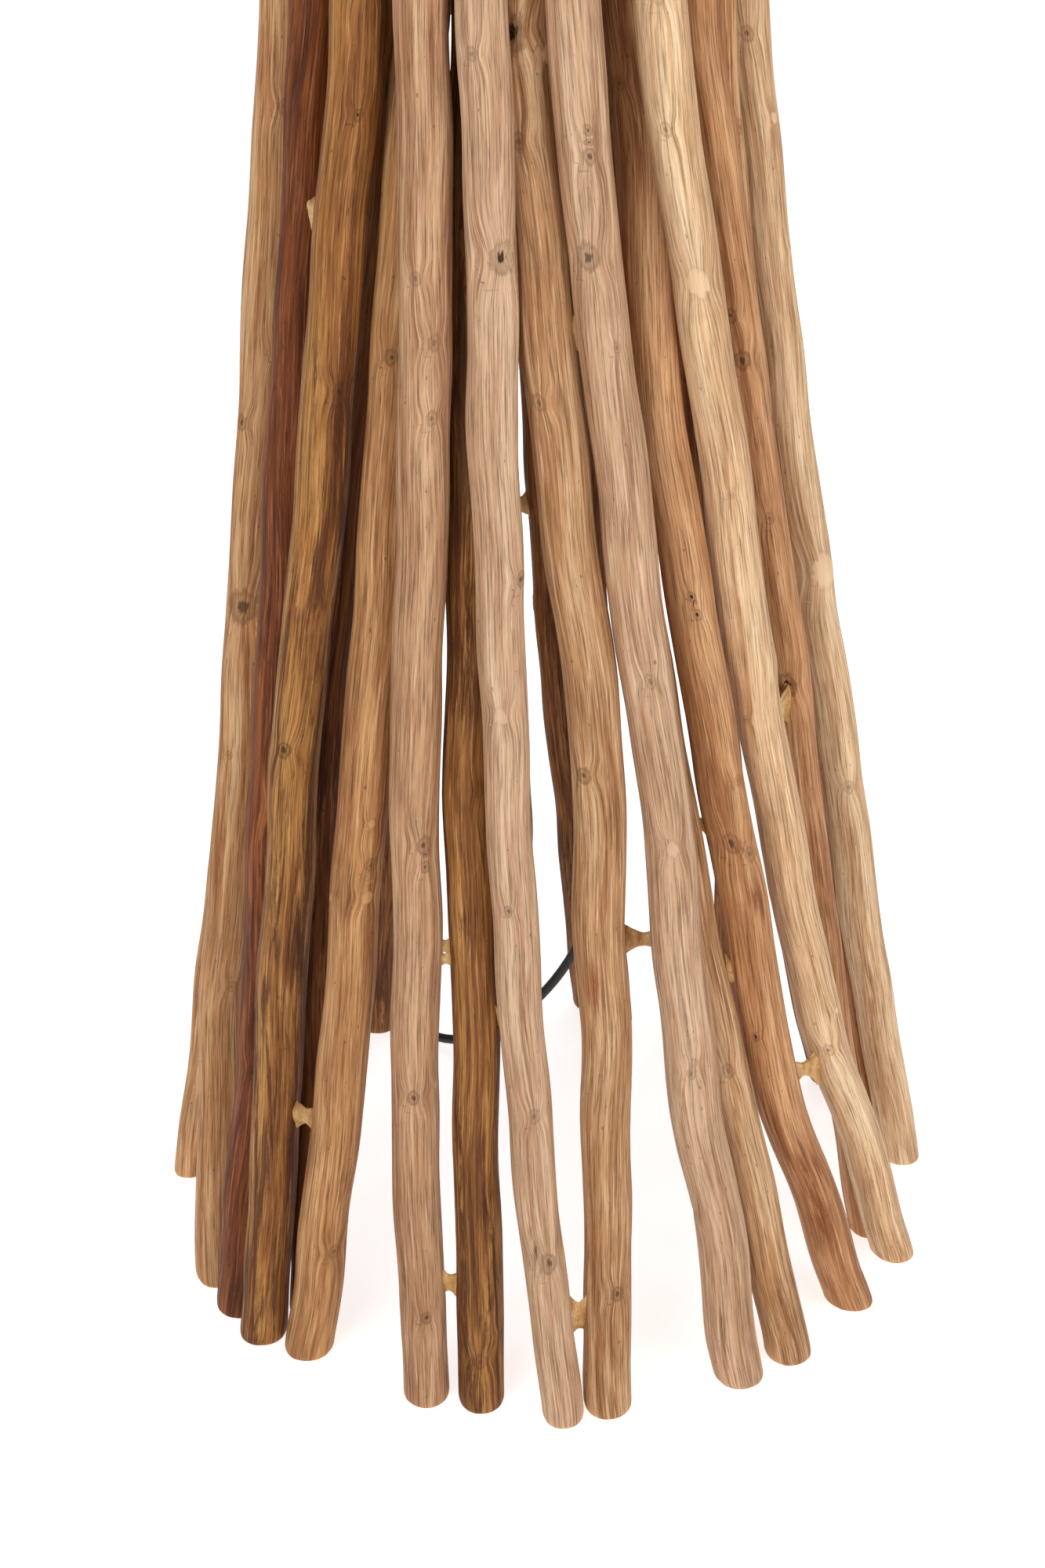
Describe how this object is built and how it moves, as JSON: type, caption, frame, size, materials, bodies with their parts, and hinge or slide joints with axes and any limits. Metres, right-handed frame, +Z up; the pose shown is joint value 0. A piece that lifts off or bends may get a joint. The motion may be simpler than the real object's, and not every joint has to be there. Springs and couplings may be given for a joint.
{
  "type": "floor lamp",
  "caption": "Floor lamp: a flared bundle of peeled branches on a ring of feet, with a cloth drum shade, a bulb and a corded switch.",
  "frame": {"origin": "on the floor, on the axis of the centre tube and the shade", "axes": "+Z up, -Y to the front, +X to the right"},
  "size_m": [0.4499, 0.5272, 1.3031],
  "materials": {
    "wood_tan": "peeled and sanded, waxed",
    "wood_pale": "peeled and sanded, waxed",
    "wood_dark": "peeled, with dark bark streaks",
    "glue": "set glue with sawdust",
    "plywood": "sawn plywood",
    "zinc_steel": "zinc plated",
    "black_plastic": "moulded",
    "black_gloss": "polished",
    "black_cord": "smooth sheath",
    "white_ceramic": "unglazed",
    "brass": "plain",
    "bulb_metal": "rolled",
    "opal_glass": "opal",
    "linen": "plain weave on a stiff lining",
    "white_wire": "powder coated",
    "pin_metal": "nickel plated"
  },
  "bodies": {
    "lamp": {"branch_01": "wood_tan", "branch_02": "wood_pale", "branch_03": "wood_dark", "branch_04": "wood_dark", "branch_05": "wood_tan", "branch_06": "wood_dark", "branch_07": "wood_pale", "branch_08": "wood_dark", "branch_09": "wood_tan", "branch_10": "wood_tan", "branch_11": "wood_pale", "branch_12": "wood_dark", "branch_13": "wood_tan", "branch_14": "wood_pale", "branch_15": "wood_tan", "branch_16": "wood_tan", "branch_17": "wood_pale", "branch_18": "wood_tan", "branch_19": "wood_tan", "branch_20": "wood_tan", "branch_21": "wood_tan", "branch_22": "wood_tan", "branch_23": "wood_tan", "branch_24": "wood_tan", "branch_25": "wood_tan", "branch_26": "wood_tan", "branch_27": "wood_tan", "branch_28": "wood_tan", "centre_contact": "brass", "centre_tube": "zinc_steel", "cord_coil": "black_cord", "cord_gland": "black_plastic", "cord_lead": "black_cord", "cord_run": "black_cord", "cord_tail": "black_cord", "glue_bridges": "glue", "holder_cap": "black_plastic", "holder_insert": "white_ceramic", "holder_sleeve": "black_plastic", "hub_screws": "zinc_steel", "inner_cord": "black_cord", "lower_hub": "plywood", "plug_body": "black_plastic", "plug_pins": "pin_metal", "screw_shell": "brass", "switch_base": "black_plastic", "switch_contacts": "brass", "switch_cover": "black_plastic", "tube_nuts": "zinc_steel", "tube_washers": "zinc_steel", "upper_hub": "plywood"},
    "shade": {"shade_cloth": "linen", "shade_wires": "white_wire", "shade_spider": "white_wire"},
    "shade_ring": {"shade_ring": "black_plastic"},
    "bulb": {"bulb_glass": "opal_glass", "bulb_cap": "bulb_metal", "bulb_contact": "brass"},
    "rocker": {"switch_rocker": "black_gloss"}
  },
  "joints": [
    {"name": "shade_swivel", "type": "hinge", "parent": "lamp", "child": "shade", "pos_m": [0, 0, 1.06105], "axis": [0, 0, 1], "continuous": true},
    {"name": "shade_ring_turn", "type": "hinge", "parent": "lamp", "child": "shade_ring", "pos_m": [0, 0, 1.06605], "axis": [0, 0, 1], "continuous": true},
    {"name": "bulb_turn", "type": "hinge", "parent": "lamp", "child": "bulb", "pos_m": [0, 0, 1.1], "axis": [0, 0, 1], "continuous": true},
    {"name": "switch_rock", "type": "hinge", "parent": "lamp", "child": "rocker", "pos_m": [-0.072, 0.232, 0.0135], "axis": [1, 0, 0], "range_deg": [-16, 0]}
  ]
}
